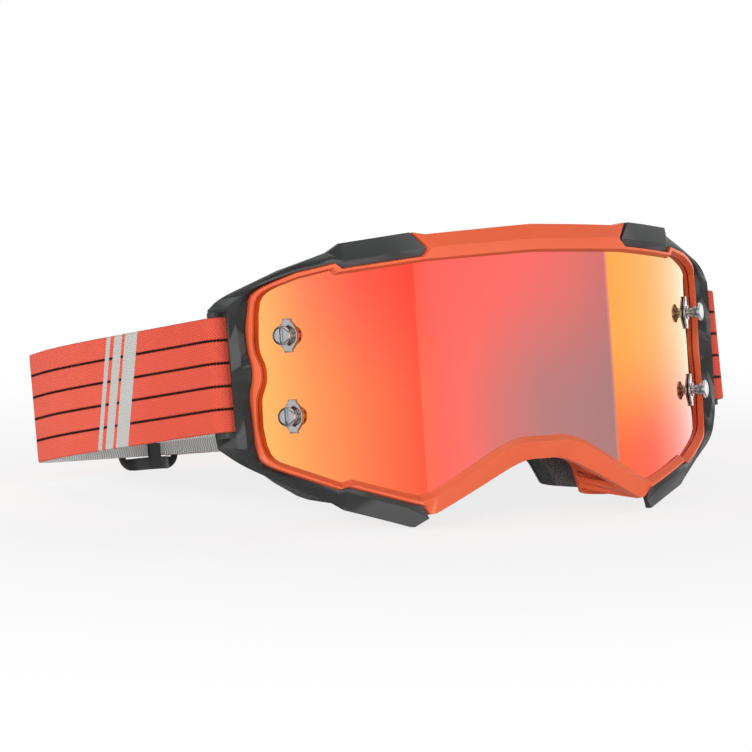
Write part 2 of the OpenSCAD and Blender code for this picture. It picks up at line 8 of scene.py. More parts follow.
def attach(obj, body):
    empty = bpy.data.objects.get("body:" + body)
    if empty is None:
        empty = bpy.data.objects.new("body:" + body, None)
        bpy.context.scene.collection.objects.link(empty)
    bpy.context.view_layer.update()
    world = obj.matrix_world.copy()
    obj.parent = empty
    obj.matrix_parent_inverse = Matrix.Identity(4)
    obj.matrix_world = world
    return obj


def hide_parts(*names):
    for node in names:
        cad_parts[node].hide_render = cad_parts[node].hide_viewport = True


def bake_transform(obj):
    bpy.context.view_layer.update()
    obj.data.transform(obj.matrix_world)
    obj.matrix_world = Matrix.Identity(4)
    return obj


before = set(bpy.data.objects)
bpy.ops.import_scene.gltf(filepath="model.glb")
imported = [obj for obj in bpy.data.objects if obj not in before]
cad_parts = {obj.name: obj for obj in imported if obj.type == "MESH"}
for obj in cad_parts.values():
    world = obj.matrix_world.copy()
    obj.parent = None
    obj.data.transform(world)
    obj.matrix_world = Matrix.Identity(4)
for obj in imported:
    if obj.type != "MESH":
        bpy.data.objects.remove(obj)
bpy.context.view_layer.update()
scene = bpy.context.scene
BODY = "goggles"
SIGN = {"right": 1, "left": -1}
MM = 0.001

# Seat of the goggles on the table and tilt of the strap loop, as in the solid model (mm, degrees)
LEAN = 8.1
SEAT = (0, -92.6, 29.4)
STRAP_TILT = 3.5

# Lens, strap loop and sliders, as in the solid model (mm)
LENS_R = 106.9
BAR_X = (93.4, 99.5)
BAR_Y = 51
STRAP_Z = 29
STRAP_W = 40
STRAP_T = 1.5
STRAP_GAP = 0.35
LAYER = STRAP_T + 0.4
LOOP_X = 124.5
LOOP_CORNER = (LOOP_X - 1, 175)
LOOP_BACK_Y = 182
SLIDER_X = 75
SLIDER_L = 24
SLIDER_BAR_W = 3
SLIDER_BAR_T = 2
SEWN_END = 26
SEWN_T = 1.2
SEWN_GAP = 0.2
BEAD_W = 1.4
BEAD_T = 0.6
BEAD_GAP = 0.1
BEAD_STEP = 8
BEAD_REACH = 40
BEAD_TURN = 14


def moved(x, y, z):
    return Matrix.Translation(Vector((x, y, z)) * MM)


def pitched(degrees):
    return Matrix.Rotation(math.radians(-degrees), 4, "X")


seat_place = moved(*SEAT) @ pitched(LEAN)
bar_place = seat_place @ moved(0, BAR_Y, STRAP_Z)
loop_place = bar_place @ pitched(STRAP_TILT) @ moved(0, -BAR_Y, 0)


# Node trees

class Field:
    """A socket that takes part in sums: each operator adds one Math node."""

    def __init__(self, graph, socket):
        self.graph = graph
        self.socket = socket

    def math(self, operation, *values):
        sockets = dict(enumerate(values))
        return self.graph.node("ShaderNodeMath", {"operation": operation}, sockets)["Value"]

    def __add__(self, other):
        return self.math("ADD", self, other)

    def __radd__(self, other):
        return self.math("ADD", other, self)

    def __sub__(self, other):
        return self.math("SUBTRACT", self, other)

    def __rsub__(self, other):
        return self.math("SUBTRACT", other, self)

    def __mul__(self, other):
        return self.math("MULTIPLY", self, other)

    def __rmul__(self, other):
        return self.math("MULTIPLY", other, self)

    def __truediv__(self, other):
        return self.math("DIVIDE", self, other)

    def __abs__(self):
        return self.math("ABSOLUTE", self)

    def __lt__(self, other):
        return self.math("LESS_THAN", self, other)

    def __gt__(self, other):
        return self.math("GREATER_THAN", self, other)

    def sine(self):
        return self.math("SINE", self)

    def fraction(self):
        return self.math("FRACT", self)

    def whole(self):
        return self.math("FLOOR", self)

    def remainder(self, other):
        return self.math("FLOORED_MODULO", self, other)

    def most(self, other):
        return self.math("MAXIMUM", self, other)

    def angle_from(self, other):
        return self.math("ARCTAN2", self, other)

    def between(self, low, high):
        """A smooth step from 0 at low to 1 at high."""
        values = {"Value": self, "From Min": low, "From Max": high}
        settings = {"interpolation_type": "SMOOTHSTEP"}
        return self.graph.node("ShaderNodeMapRange", settings, values)["Result"]


class Made:
    """A node, whose outputs are fields under their names."""

    def __init__(self, graph, node):
        self.graph = graph
        self.node = node

    def __getitem__(self, name):
        return Field(self.graph, find_socket(self.node.outputs, name))


def find_socket(sockets, key):
    """The socket with this number, identifier or name."""
    if isinstance(key, int):
        return sockets[key]
    for socket in sockets:
        if socket.identifier == key:
            return socket
    return sockets[key]


class Graph:
    """A node tree that is written as expressions."""

    def __init__(self, tree):
        self.tree = tree
        tree.nodes.clear()

    def node(self, kind, settings=None, values=None):
        node = self.tree.nodes.new(kind)
        for key, value in (settings or {}).items():
            if key == "stops":
                set_stops(node.color_ramp, value)
            else:
                setattr(node, key, value)
        for key, value in (values or {}).items():
            socket = find_socket(node.inputs, key)
            if isinstance(value, Field):
                self.tree.links.new(value.socket, socket)
            else:
                socket.default_value = value
        return Made(self, node)


def set_stops(ramp, stops):
    while len(ramp.elements) < len(stops):
        ramp.elements.new(1)
    for element, (place, colour) in zip(ramp.elements, stops):
        element.position = place
        element.color = (*colour, 1)


class Finish(Graph):
    """The material of one finish, with the textures that several finishes share."""

    WEAR_AND_HIGHLIGHT_FROM = 0.515
    WEAR_AND_HIGHLIGHT_TO = 0.58

    def __init__(self, name):
        self.material = bpy.data.materials.new(name)
        self.material.use_nodes = True
        super().__init__(self.material.node_tree)
        self.place = self.node("ShaderNodeTexCoord")["Object"]

    def axis(self, name):
        return self.node("ShaderNodeSeparateXYZ", {}, {"Vector": self.place})[name]

    def attribute(self, name):
        return self.node("ShaderNodeAttribute", {"attribute_name": name})["Fac"]

    def noise(self, scale, detail):
        values = {"Vector": self.place, "Scale": scale, "Detail": detail}
        return self.node("ShaderNodeTexNoise", {}, values)["Fac"]

    def cells(self, scale):
        values = {"Vector": self.place, "Scale": scale}
        return self.node("ShaderNodeTexVoronoi", {}, values)["Distance"]

    def mix(self, factor, a, b):
        values = {"Factor_Float": factor, "A_Color": a, "B_Color": b}
        return self.node("ShaderNodeMix", {"data_type": "RGBA"}, values)["Result_Color"]

    def ramp(self, factor, stops):
        return self.node("ShaderNodeValToRGB", {"stops": stops}, {"Fac": factor})["Color"]

    def edges(self):
        """1 on the outer edges of a moulding, where wear and a painted highlight go, 0 on its flats
        and hollows.
        """
        pointed = self.node("ShaderNodeNewGeometry")["Pointiness"]
        return pointed.between(self.WEAR_AND_HIGHLIGHT_FROM, self.WEAR_AND_HIGHLIGHT_TO)

    def bump(self, height, strength, distance):
        values = {"Height": height, "Strength": strength, "Distance": distance}
        return self.node("ShaderNodeBump", {}, values)["Normal"]

    def surface(self, values):
        shader = self.node("ShaderNodeBsdfPrincipled", {}, values)
        self.node("ShaderNodeOutputMaterial", {}, {"Surface": shader["BSDF"]})
        return self.material


def linear(value):
    value /= 255
    return value / 12.92 if value <= 0.04045 else ((value + 0.055) / 1.055) ** 2.4


def rgb(red, green, blue):
    """A colour given as it looks on a screen, from 0 to 255."""
    return (linear(red), linear(green), linear(blue), 1)


# Finishes

def orange_moulding():
    """Soft orange frame: satin, with a fine spark-eroded grain, paler along its edges from wear and
    a painted highlight.
    """
    f = Finish("orange_moulding")
    cloud = f.noise(scale=28, detail=3)
    grain = f.noise(scale=2600, detail=2)
    wear_and_highlight = f.edges()
    body = f.mix(cloud, rgb(214, 91, 56), rgb(222, 99, 64))
    return f.surface({
        # Pale edges: wear, and a painted highlight along the bevels.
        "Base Color": f.mix(wear_and_highlight * 0.45, body, rgb(244, 146, 112)),
        "Roughness": 0.40 + 0.12 * cloud - 0.06 * wear_and_highlight,
        "Specular IOR Level": 0.25,
        "Normal": f.bump(grain, strength=0.10, distance=0.2 * MM),
    })


def charcoal_moulding():
    """Stiff charcoal nylon of the outriggers and sliders, textured, paler at its edges from wear
    and a painted highlight.
    """
    f = Finish("charcoal_moulding")
    cloud = f.noise(scale=40, detail=3)
    grain = f.noise(scale=3200, detail=3)
    wear_and_highlight = f.edges()
    body = f.mix(cloud, rgb(40, 41, 42), rgb(48, 49, 49))
    return f.surface({
        # Pale edges: wear, and a painted highlight along the bevels.
        "Base Color": f.mix(wear_and_highlight * 0.35, body, rgb(112, 113, 113)),
        "Roughness": 0.50 + 0.14 * cloud - 0.08 * wear_and_highlight,
        "Specular IOR Level": 0.2,
        "Normal": f.bump(grain, strength=0.14, distance=0.2 * MM),
    })


# Colours along the lens, near its top and near its bottom: the tint of the mirror coating with a
# painted reflection of the studio, fixed on the lens.
# The gold of the far end starts at a sharp line beside the mauve; that line, the gold and the
# change from top to bottom are painted reflection.
LENS_SPAN = 180
MAUVE_TO = 0.674
GOLD_FROM = 0.676
COAT_AND_REFLECTION_HIGH = [
    (0.02, (1.0, 0.50, 0.17)), (0.09, (1.0, 0.23, 0.11)), (0.17, (1.0, 0.115, 0.08)),
    (0.26, (1.0, 0.075, 0.05)), (0.30, (0.92, 0.10, 0.08)), (0.45, (0.75, 0.115, 0.10)),
    (0.58, (0.62, 0.125, 0.11)), (MAUVE_TO, (0.47, 0.13, 0.12)),
    (GOLD_FROM, (0.58, 0.235, 0.046)), (0.78, (0.58, 0.255, 0.066)), (0.95, (0.58, 0.35, 0.17)),
]
COAT_AND_REFLECTION_LOW = [
    (0.02, (1.0, 0.53, 0.15)), (0.09, (1.0, 0.34, 0.11)), (0.17, (1.0, 0.21, 0.085)),
    (0.26, (1.0, 0.12, 0.06)), (0.30, (0.85, 0.115, 0.085)), (0.40, (0.54, 0.14, 0.125)),
    (0.50, (0.37, 0.158, 0.152)), (MAUVE_TO, (0.31, 0.152, 0.15)),
    (GOLD_FROM, (0.58, 0.085, 0.036)), (0.78, (0.58, 0.076, 0.046)), (0.95, (0.58, 0.16, 0.13)),
]
# Heights between which the upper colours give way to the lower ones (mm)
ROSE_FALL = (96, 38)
GOLD_FALL = (64, 16)


def mirror_coat():
    """Mirror coating of the lens: gold at the ends, red, then rose and mauve across the middle,
    partly the coating's tint and partly painted reflection.
    """
    f = Finish("mirror_coat")
    along = (f.axis("X") / MM + LENS_SPAN / 2) / LENS_SPAN
    height = f.axis("Z") / MM
    gold_end = along > (MAUVE_TO + GOLD_FROM) / 2
    # Painted reflection: the upper colours give way to the lower ones, with a sharp change at the
    # far end's gold.
    lowered = (1 - gold_end) * height.between(*ROSE_FALL) + gold_end * height.between(*GOLD_FALL)
    film = f.noise(scale=9, detail=1)
    return f.surface({
        "Base Color": f.mix(lowered, f.ramp(along, COAT_AND_REFLECTION_HIGH), f.ramp(along, COAT_AND_REFLECTION_LOW)),
        "Metallic": 1.0,
        "Roughness": 0.004 + 0.005 * film,
    })


def lens_back():
    """Inside of the lens: a smooth rose-brown tint."""
    f = Finish("lens_back")
    film = f.noise(scale=12, detail=2)
    return f.surface({
        "Base Color": f.mix(film, rgb(128, 66, 50), rgb(146, 80, 62)),
        "Roughness": 0.06 + 0.03 * film,
        "Specular IOR Level": 0.5,
    })


def polished_post():
    """Bright turned posts, plates and nuts, with faint turning marks."""
    f = Finish("polished_post")
    marks = f.noise(scale=900, detail=2)
    return f.surface({
        "Base Color": f.mix(marks, rgb(158, 161, 164), rgb(194, 196, 198)),
        "Metallic": 1.0,
        "Roughness": 0.10 + 0.10 * marks,
        "Normal": f.bump(marks, strength=0.05, distance=0.1 * MM),
    })


# Weave of the webbing (mm): loops of the face, ribs of the back, stripes along it
LOOP_ROW = 0.62
LOOP_PICK = 1.05
RIB = 0.95
RIB_WAVE = 0.8
RIB_SWAY = 0.35
STRIPE_STEP = 8
STRIPE_HALF = 0.7
STRIPE_TOOTH = 0.9
STRIPED_TO = 16
# Run from the bar over which the painted shade of the coral gives way to its full colour (mm)
PAINTED_SHADE_RUN = (5, 115)
# Slanted bars across the side run: place of the group, slant, then middle and half width of each
MOTIF_AT = 62
MOTIF_SLANT = 0.28
MOTIF_TOOTH = 0.3
MOTIF_BARS = ((-7.5, 3.6), (0, 2.3), (5.6, 1.2))


def woven_strap(name, barred):
    """Elastic webbing: coral face with thin black stripes and slanted bars, grey ribbed back, with
    painted shade in the weave and near the bar.
    """
    f = Finish(name)
    along = f.attribute("along") / MM
    across = f.attribute("across") / MM
    face = f.attribute("side") > 0
    row = across / LOOP_ROW
    pick = along / LOOP_PICK + 0.5 * row.whole().remainder(2)
    loop_height = (pick.fraction() * math.pi).sine() * (row.fraction() * math.pi).sine()
    rib = along / RIB + RIB_SWAY * (across / RIB_WAVE).sine()
    rib_height = (rib.fraction() * math.pi).sine()
    fuzz = f.noise(scale=5200, detail=2)
    cloud = f.noise(scale=60, detail=2)
    # Painted shade: the coral is darker near the bar and lightens along the run, mixed with a
    # random tone.
    coral_tone_and_shade = 0.3 * cloud + 0.7 * along.between(*PAINTED_SHADE_RUN)
    coral = f.mix(coral_tone_and_shade, rgb(229, 90, 71), rgb(250, 112, 92))
    tooth = abs(pick.fraction() - 0.5) * STRIPE_TOOTH
    off_middle = abs((across + STRAP_W / 2).remainder(STRIPE_STEP) - STRIPE_STEP / 2)
    off_stripe = STRIPE_STEP / 2 - off_middle
    stripe = (off_stripe + tooth < STRIPE_HALF) * (abs(across) < STRIPED_TO)
    pattern = f.mix(stripe, coral, rgb(18, 11, 10))
    if barred:
        slanted = along - MOTIF_AT - MOTIF_SLANT * across + MOTIF_TOOTH * tooth
        bars = 0
        for middle, half in MOTIF_BARS:
            bars = (abs(slanted - middle) < half).most(bars)
        pattern = f.mix(bars, pattern, rgb(203, 204, 200))
    grey = f.mix(cloud, rgb(230, 232, 230), rgb(242, 244, 241))
    loop_shade = 0.28 - 0.34 * loop_height + 0.10 * fuzz
    rib_shade = 0.60 - 0.60 * rib_height + 0.10 * fuzz
    shaded_face = f.mix(loop_shade, pattern, rgb(62, 20, 15))
    shaded_back = f.mix(rib_shade, grey, rgb(112, 114, 114))
    height = face * loop_height + (1 - face) * rib_height + 0.25 * fuzz
    return f.surface({
        "Base Color": f.mix(face, shaded_back, shaded_face),
        "Roughness": 0.80 + 0.12 * fuzz,
        "Specular IOR Level": 0.2,
        "Normal": f.bump(height, strength=0.65, distance=0.25 * MM),
    })


def open_foam(name, pore_shade, wall):
    """Open-cell foam, with painted shade in its pores."""
    f = Finish(name)
    # Painted shade: the pores are darker than the cell walls.
    hole = f.cells(scale=1700).between(0.16, 0.5)
    small = f.cells(scale=3600)
    return f.surface({
        "Base Color": f.mix(hole, pore_shade, wall),
        "Roughness": 0.93,
        "Specular IOR Level": 0.15,
        "Normal": f.bump(hole + 0.5 * small, strength=0.8, distance=0.4 * MM),
    })


def brushed_fleece():
    """Dark fleece that lies against the face."""
    f = Finish("brushed_fleece")
    tufts = f.noise(scale=1500, detail=5)
    wisps = f.noise(scale=5200, detail=3)
    return f.surface({
        "Base Color": f.mix(tufts, rgb(32, 33, 34), rgb(66, 67, 68)),
        "Roughness": 0.95,
        "Specular IOR Level": 0.1,
        "Sheen Weight": 0.5,
        "Sheen Roughness": 0.5,
        "Normal": f.bump(tufts + 0.6 * wisps, strength=0.8, distance=0.5 * MM),
    })


def silicone_bead():
    """Milky silicone of the grip beads."""
    f = Finish("silicone_bead")
    cloud = f.noise(scale=300, detail=2)
    return f.surface({
        "Base Color": f.mix(cloud, rgb(206, 208, 205), rgb(224, 225, 221)),
        "Roughness": 0.32 + 0.1 * cloud,
        "Subsurface Weight": 0.15,
        "Subsurface Scale": 1 * MM,
    })


def sewing_thread():
    """Coral thread of the seams, with a twist."""
    f = Finish("sewing_thread")
    twist = f.noise(scale=6000, detail=1)
    return f.surface({
        "Base Color": f.mix(twist, rgb(176, 58, 44), rgb(236, 112, 92)),
        "Roughness": 0.7,
        "Normal": f.bump(twist, strength=0.4, distance=0.1 * MM),
    })


ORANGE = orange_moulding()
CHARCOAL = charcoal_moulding()
MIRROR = mirror_coat()
LENS_BACK = lens_back()
POST = polished_post()
WEBBING = woven_strap("woven_strap", barred=True)
WEBBING_END = woven_strap("woven_strap_end", barred=False)
FOAM = open_foam("face_foam", rgb(54, 56, 57), rgb(90, 92, 93))
FILTER = open_foam("filter_foam", rgb(168, 66, 40), rgb(204, 86, 54))
FLEECE = brushed_fleece()
SILICONE = silicone_bead()
THREAD = sewing_thread()


# Pieces from the solid model

CAD_MERGE = 3e-6
QUAD_BEND = math.radians(12)
QUAD_SKEW = math.radians(60)


def piece_from(mesh, name, finish):
    mesh.name = name
    mesh.materials.clear()
    mesh.materials.append(finish)
    piece = bpy.data.objects.new(name, mesh)
    scene.collection.objects.link(piece)
    return piece


def joined_copy(node, name, finish, quads=True, flatten=0):
    """A copy of a CAD node with its loose triangles joined, ready for soft edges."""
    bm = bmesh.new()
    bm.from_mesh(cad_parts[node].data)
    bmesh.ops.remove_doubles(bm, verts=bm.verts, dist=CAD_MERGE)
    if flatten:
        limit = math.radians(flatten)
        bmesh.ops.dissolve_limit(bm, angle_limit=limit, verts=bm.verts, edges=bm.edges)
    elif quads:
        bmesh.ops.join_triangles(
            bm, faces=bm.faces, angle_face_threshold=QUAD_BEND, angle_shape_threshold=QUAD_SKEW
        )
    mesh = bpy.data.meshes.new(name)
    bm.to_mesh(mesh)
    bm.free()
    return piece_from(mesh, name, finish)


def baked(piece):
    """Turns a piece's modifiers into its mesh."""
    state = bpy.context.evaluated_depsgraph_get()
    shape = piece.evaluated_get(state)
    mesh = bpy.data.meshes.new_from_object(shape, preserve_all_data_layers=True, depsgraph=state)
    piece.modifiers.clear()
    piece.data = mesh
    return piece


def smooth_to(piece, degrees):
    piece.data.shade_smooth()
    piece.data.set_sharp_from_angle(angle=math.radians(degrees))
    return piece


def bevelled(piece, width, degrees, segments):
    bevel = piece.modifiers.new("soft edges", "BEVEL")
    bevel.width = width * MM
    bevel.segments = segments
    bevel.limit_method = "ANGLE"
    bevel.angle_limit = math.radians(degrees)
    return piece


def soften(piece, width, degrees=28, smooth=40):
    return smooth_to(baked(bevelled(piece, width, degrees, segments=2)), smooth)


def stands_for(piece, node, body=BODY):
    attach(piece, body)
    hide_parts(node)


def moulding(node, finish, slot, width, body=BODY, flatten=0, **facets):
    piece = joined_copy(node, node + "_moulding", finish, flatten=flatten)
    stands_for(soften(piece, width, **facets), node, body)


# Lip of the rim: its radii about the lens's axis, the slope from its foot to its top, and how far
# it is let down and opened at the sides and opened along the bottom (mm)
LIP_FOOT_R = 107.05
LIP_TOP_R = 109.9
LIP_SLOPE = 0.9
LIP_DROP = 0.7
LIP_OPEN = 1.0
LIP_FOOT_OPEN = 0.4
LIP_SILL = 1.2
ON_RADIUS = 0.04
ON_SLOPE = 0.06


def in_front(point):
    """A point's place in the front view and its radius about the lens's axis, in mm."""
    x, y, z = (seat_place.inverted() @ point) / MM
    return Vector((x, z)), math.hypot(x, LENS_R - y)


def on_cylinder(spot, radius):
    depth = LENS_R - math.sqrt(radius * radius - spot.x * spot.x)
    return seat_place @ (Vector((spot.x, depth, spot.y)) * MM)


def at_radius(spots, wanted):
    return [(i, spot) for i, (spot, r) in enumerate(spots) if abs(r - wanted) < ON_RADIUS]


def lowered_lip(piece):
    """Lets the lip of the rim down and opens it, so that it follows the bend of the face."""
    vertices = piece.data.vertices
    spots = [in_front(v.co) for v in vertices]
    feet = at_radius(spots, LIP_FOOT_R)
    tops = at_radius(spots, LIP_TOP_R)
    inner = {}
    for i, spot in tops:
        foot, base = min(feet, key=lambda item: abs((item[1] - spot).length - LIP_SLOPE))
        away = spot - base
        if abs(away.length - LIP_SLOPE) > ON_SLOPE:
            continue
        away.normalize()
        inner[i] = (spot, away)
        share = away.x ** 2
        vertices[foot].co = on_cylinder(base + away * LIP_FOOT_OPEN * share, LIP_FOOT_R)
    for i, spot in tops:
        _, away = min(inner.values(), key=lambda item: (item[0] - spot).length_squared)
        share = away.x ** 2
        sill = max(0, -away.y) ** 2
        opened = LIP_OPEN * share + LIP_SILL * sill if i in inner else 0
        vertices[i].co = on_cylinder(spot + away * opened, LIP_TOP_R - LIP_DROP * share)
    piece.data.update()
    return piece


def flat_faced(piece):
    """Keeps broad faces flat between their soft edges."""
    weighted = piece.modifiers.new("flat faces", "WEIGHTED_NORMAL")
    weighted.mode = "FACE_AREA"
    weighted.weight = 50
    weighted.keep_sharp = True
    return baked(piece)


def frame_moulding():
    piece = lowered_lip(joined_copy("frame", "frame_moulding", ORANGE))
    piece = flat_faced(soften(piece, width=0.3, degrees=22, smooth=35))
    stands_for(piece, "frame")


frame_moulding()
for side in SIGN:
    moulding(
        "outrigger_" + side, CHARCOAL, "charcoal", width=0.25, flatten=5, degrees=20, smooth=15
    )
for side in SIGN:
    moulding("slider_" + side, CHARCOAL, "charcoal", width=0.5, body="slider_" + side)
for hardware in ("posts", "post_plates", "post_nuts"):
    moulding(hardware, POST, "post_clear", width=0.12)


LENS_FACING = 0.9


def lens():
    """The lens with the true normals of its cylinder, so that it mirrors without facets."""
    piece = joined_copy("lens", "mirror_lens", MIRROR, quads=False)
    mesh = piece.data
    seat_turn = seat_place.to_3x3()
    from_seat = seat_place.inverted()
    axis_point = Vector((0, LENS_R, 0)) * MM
    normals = []
    mesh.shade_smooth()
    mesh.materials.append(LENS_BACK)
    for face in mesh.polygons:
        for corner in face.loop_indices:
            point = from_seat @ mesh.vertices[mesh.loops[corner].vertex_index].co - axis_point
            radial = (seat_turn @ Vector((point.x, point.y, 0))).normalized()
            facing = face.normal.dot(radial)
            curved = abs(facing) >= LENS_FACING
            normals.append(radial * math.copysign(1, facing) if curved else face.normal)
        face.material_index = 0 if facing > LENS_FACING else 1
    mesh.normals_split_custom_set(normals)
    stands_for(piece, "lens")


lens()


# Foam

SWELL_STEP = 6 * MM


def foam_pad(node, finish, rounding, swell):
    """Foam cut to shape: rounded edges and a surface that is never quite even."""
    piece = bevelled(joined_copy(node, node + "_pad", finish), rounding, degrees=30, segments=3)
    divide = piece.modifiers.new("finer", "SUBSURF")
    divide.subdivision_type = "SIMPLE"
    divide.levels = divide.render_levels = 1
    mesh = baked(piece).data
    mesh.update()
    moves = [v.normal * noise.noise(v.co / SWELL_STEP) * swell * MM for v in mesh.vertices]
    for vertex, move in zip(mesh.vertices, moves):
        vertex.co += move
    smooth_to(piece, degrees=60)
    stands_for(piece, node)


foam_pad("face_foam_base", FOAM, rounding=0.7, swell=0.12)
foam_pad("face_foam_middle", FOAM, rounding=0.9, swell=0.14)
foam_pad("face_foam_fleece", FLEECE, rounding=0.5, swell=0.12)
for vent in ("vent_foam_top", "vent_foam_right", "vent_foam_left"):
    foam_pad(vent, FILTER, rounding=0.4, swell=0.1)


# Paths and the trees that follow them

CORNER_STEPS = 10
CORNER_SHARE = 0.45
BAND_MERGE = 1e-7
BAND_EDGE = 0.45


def rounded_path(corners, reaches, longest=2.0):
    """A line in the plane of the loop, in mm, that starts to turn at a reach before each corner."""
    line = []
    for i, reach in enumerate(reaches):
        here = Vector(corners[i])
        if reach == 0:
            line.append(here)
            continue
        before, after = Vector(corners[i - 1]), Vector(corners[i + 1])
        start = here.lerp(before, min(CORNER_SHARE, reach / (before - here).length))
        end = here.lerp(after, min(CORNER_SHARE, reach / (after - here).length))
        for k in range(CORNER_STEPS + 1):
            t = k / CORNER_STEPS
            line.append(start.lerp(here, t).lerp(here.lerp(end, t), t))
    path = [line[0]]
    for a, b in zip(line, line[1:]):
        steps = max(1, math.ceil((b - a).length / longest))
        path += [a.lerp(b, k / steps) for k in range(1, steps + 1)]
    return path


def wire(name, points, edges):
    mesh = bpy.data.meshes.new(name)
    mesh.from_pydata(points, edges, [])
    line = bpy.data.objects.new(name, mesh)
    scene.collection.objects.link(line)
    return line


class Shape(Graph):
    """A geometry tree with named sizes."""

    def __init__(self, name, sizes):
        tree = bpy.data.node_groups.new(name, "GeometryNodeTree")
        super().__init__(tree)
        self.socket("Geometry", "INPUT", "NodeSocketGeometry")
        for size in sizes:
            self.socket(size, "INPUT", "NodeSocketFloat")
        self.socket("Material", "INPUT", "NodeSocketMaterial")
        self.socket("Geometry", "OUTPUT", "NodeSocketGeometry")
        self.given = self.node("NodeGroupInput")

    def socket(self, name, way, kind):
        self.tree.interface.new_socket(name=name, in_out=way, socket_type=kind)

    def curve(self):
        return self.node("GeometryNodeMeshToCurve", {}, {"Mesh": self.given["Geometry"]})["Curve"]

    def store(self, geometry, name, value):
        settings = {"data_type": "FLOAT", "domain": "POINT"}
        return self.node("GeometryNodeStoreNamedAttribute", settings, {
            "Geometry": geometry, "Name": name, "Value": value,
        })["Geometry"]

    def end(self, geometry):
        real = self.node("GeometryNodeRealizeInstances", {}, {"Geometry": geometry})["Geometry"]
        painted = self.node("GeometryNodeSetMaterial", {}, {
            "Geometry": real, "Material": self.given["Material"],
        })["Geometry"]
        self.node("NodeGroupOutput", {}, {"Geometry": painted})
        return self.tree


def swept_band():
    """A flat band swept along a line, which keeps its length, width and face as attributes."""
    s = Shape("swept_band", ["Width", "Thickness", "Edge", "Start", "Face"])
    upright = s.node("GeometryNodeSetCurveNormal", {"mode": "Z_UP"}, {"Curve": s.curve()})["Curve"]
    length = s.node("GeometryNodeSplineParameter")["Length"]
    run = s.store(upright, "along", length - s.given["Start"])
    flat = s.node("GeometryNodeCurvePrimitiveQuadrilateral", {"mode": "RECTANGLE"}, {
        "Width": s.given["Thickness"], "Height": s.given["Width"],
    })["Curve"]
    eased = s.node("GeometryNodeFilletCurve", {"mode": "POLY"}, {
        "Curve": flat, "Count": 3, "Radius": s.given["Edge"], "Limit Radius": True,
    })["Curve"]
    place = s.node("GeometryNodeInputPosition")["Position"]
    parts = s.node("ShaderNodeSeparateXYZ", {}, {"Vector": place})
    side = parts["X"] * s.given["Face"] / s.given["Thickness"]
    section = s.store(s.store(eased, "across", parts["Y"]), "side", side)
    band = s.node("GeometryNodeCurveToMesh", {}, {
        "Curve": run, "Profile Curve": section, "Fill Caps": True,
    })["Mesh"]
    return s.end(band)


def stitch_row():
    """Stitches of one pitch along a line."""
    s = Shape("stitch_row", ["Pitch", "Stitch", "Thread"])
    stepped = s.node("GeometryNodeResampleCurve", {"mode": "LENGTH"}, {
        "Curve": s.curve(), "Length": s.given["Pitch"],
    })["Curve"]
    turned = s.node("FunctionNodeAlignRotationToVector", {"axis": "X"}, {
        "Vector": s.node("GeometryNodeInputTangent")["Tangent"],
    })["Rotation"]
    bead = s.node("GeometryNodeMeshUVSphere", {}, {
        "Segments": 8, "Rings": 5, "Radius": 0.5,
    })["Mesh"]
    size = s.node("ShaderNodeCombineXYZ", {}, {
        "X": s.given["Stitch"], "Y": s.given["Thread"], "Z": s.given["Thread"],
    })["Vector"]
    row = s.node("GeometryNodeInstanceOnPoints", {}, {
        "Points": stepped, "Instance": bead, "Rotation": turned, "Scale": size,
    })["Instances"]
    return s.end(row)


SWEPT_BAND = swept_band()
STITCH_ROW = stitch_row()


def grown(line, tree, sizes, finish):
    """The plain mesh that a geometry tree makes from a line."""
    given = {**sizes, "Material": finish}
    modifier = line.modifiers.new(tree.name, "NODES")
    modifier.node_group = tree
    for item in tree.interface.items_tree:
        if item.in_out == "INPUT" and item.name in given:
            modifier[item.identifier] = given[item.name]
    mesh = baked(line).data
    bm = bmesh.new()
    bm.from_mesh(mesh)
    bmesh.ops.remove_doubles(bm, verts=bm.verts, dist=BAND_MERGE)
    bmesh.ops.recalc_face_normals(bm, faces=bm.faces)
    bm.to_mesh(mesh)
    bm.free()
    mesh.name = line.name
    return line


def band(name, path, place, width, thickness, finish, start=0.0, face=1.0):
    """A flat band along a path. Its length counts from start, and face says which side is out."""
    sizes = {
        "Width": width * MM, "Thickness": thickness * MM, "Edge": BAND_EDGE * thickness * MM,
        "Start": start * MM, "Face": face,
    }
    chain = [(i, i + 1) for i in range(len(path) - 1)]
    line = wire(name, [(p * MM).to_3d() for p in path], chain)
    piece = grown(line, SWEPT_BAND, sizes, finish)
    piece.data.transform(place)
    return smooth_to(piece, degrees=50)


STITCH_SIZES = {"Pitch": 2.2 * MM, "Stitch": 1.9 * MM, "Thread": 0.5 * MM}


def sew(name, rows, place, body):
    """Rows of stitches, each between the two points of a pair."""
    points = [Vector(p) * MM for row in rows for p in row]
    pairs = [(2 * i, 2 * i + 1) for i in range(len(rows))]
    piece = grown(wire(name, points, pairs), STITCH_ROW, STITCH_SIZES, THREAD)
    piece.data.transform(place)
    smooth_to(piece, degrees=80)
    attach(piece, body)


# Straps

FOLD_FROM = 18
FOLD_TO = 36
FOLD_ROWS = (4, 7)
FOLD_ROW_HALF = 18
SIDE_RUN_OUT = 1
SIDE_RUN_END = 40
STRAP_TURNS = [0, 5, 1.8, 3.5, 30, 11, 14, 0]
END_CLEARANCE = 0.4


def rear_y(x):
    corner_x, corner_y = LOOP_CORNER
    return LOOP_BACK_Y - abs(x) * (LOOP_BACK_Y - corner_y) / corner_x


RUN_ANGLE = math.atan2(LOOP_BACK_Y - LOOP_CORNER[1], LOOP_CORNER[0])


